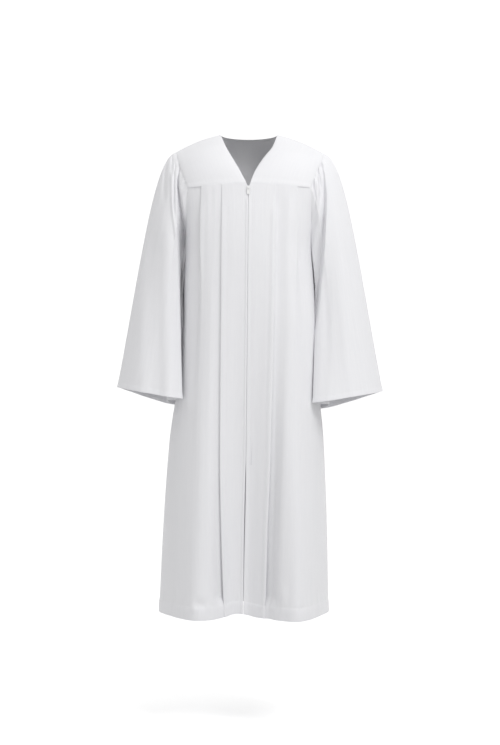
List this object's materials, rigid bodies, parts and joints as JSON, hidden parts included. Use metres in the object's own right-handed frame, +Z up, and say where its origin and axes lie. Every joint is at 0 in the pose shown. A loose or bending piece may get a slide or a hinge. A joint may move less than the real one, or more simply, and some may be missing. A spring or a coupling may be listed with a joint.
{
  "type": "choir robe",
  "caption": "Long zip-front choir robe in the form it has when worn, with pleated fronts, a fluted back, a yoke and bell sleeves; hollow and open at neck, cuffs and hem.",
  "frame": {"origin": "midway between the neck ends of the two shoulder seams, where the wearer's shoulders carry the robe", "axes": "+Z up along the robe's length, +Y from front to back, +X towards the wearer's left"},
  "size_m": [0.664, 0.4023, 1.1906],
  "materials": {
    "robe_cloth": "plain woven polyester, optic white, matt with a faint sheen",
    "zip_tape_cloth": "woven polyester zip tape, white",
    "zip_enamel": "die-cast zinc alloy with white enamel"
  },
  "bodies": {
    "robe": {"front_right": "robe_cloth", "front_left": "robe_cloth", "back": "robe_cloth", "yoke_front_right": "robe_cloth", "yoke_front_left": "robe_cloth", "yoke_back": "robe_cloth", "sleeve_right": "robe_cloth", "sleeve_left": "robe_cloth", "zip_tape": "zip_tape_cloth", "zip_slider": "zip_enamel"},
    "zip_pull": {"zip_pull_tab": "zip_enamel"}
  },
  "joints": [
    {"name": "zip_pull_hinge", "type": "hinge", "parent": "robe", "child": "zip_pull", "pos_m": [-0.00154, -0.10876, -0.143], "axis": [-1, 0, 0], "range_deg": [0, 150]}
  ]
}
